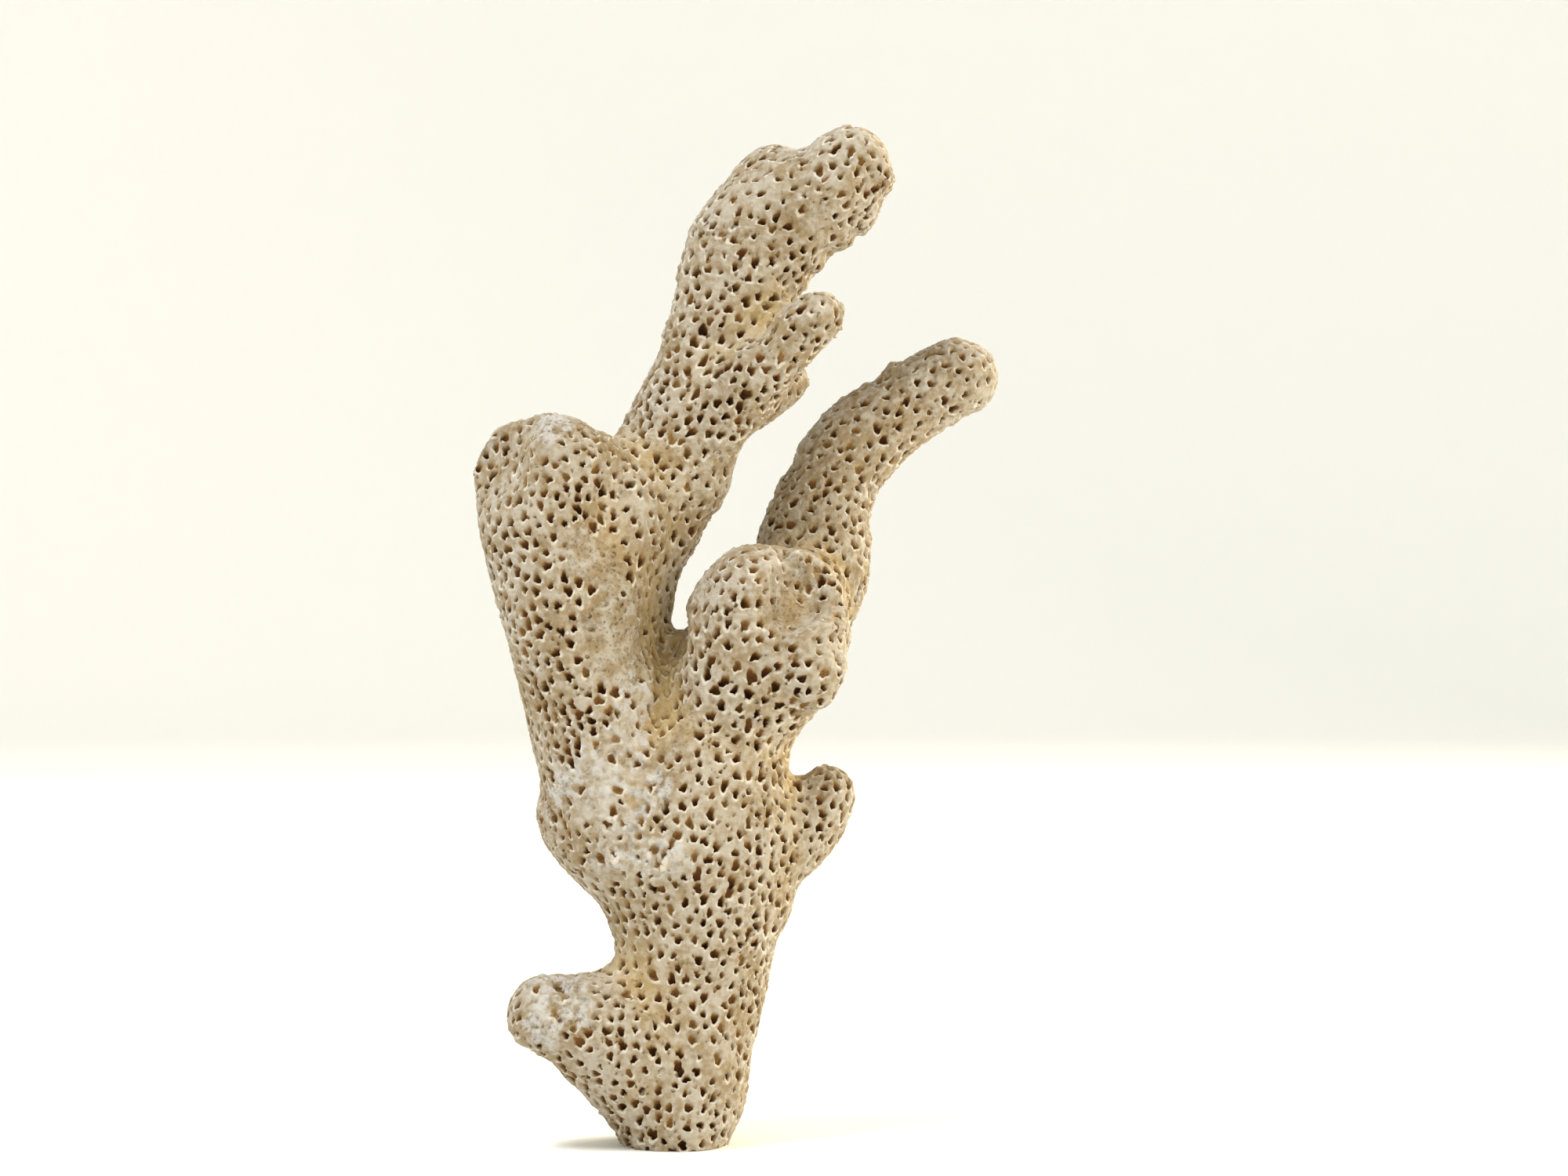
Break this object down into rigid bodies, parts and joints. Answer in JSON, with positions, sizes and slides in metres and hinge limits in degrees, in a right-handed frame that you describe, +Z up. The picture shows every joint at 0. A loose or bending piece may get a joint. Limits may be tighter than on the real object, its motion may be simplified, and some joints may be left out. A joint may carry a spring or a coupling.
{
  "type": "staghorn coral",
  "caption": "Dry branching coral skeleton, bone white and pitted all over, standing upright on a flat cut foot.",
  "frame": {"origin": "centre of the flat cut face under the foot, on the surface it rests on", "axes": "+Z up along the coral from the foot to the crown, +X to the right as seen from the front, +Y to the back"},
  "size_m": [0.0562, 0.0232, 0.1087],
  "materials": {
    "coral_skeleton": "dry matt chalky bone white, darker brown inside the pores"
  },
  "bodies": {
    "root": {"trunk": "coral_skeleton", "lower_stub": "coral_skeleton", "side_nub": "coral_skeleton", "left_stem": "coral_skeleton", "middle_stub": "coral_skeleton", "back_finger": "coral_skeleton", "upper_branch": "coral_skeleton", "front_finger": "coral_skeleton", "rear_nub": "coral_skeleton", "crown": "coral_skeleton"}
  },
  "joints": []
}
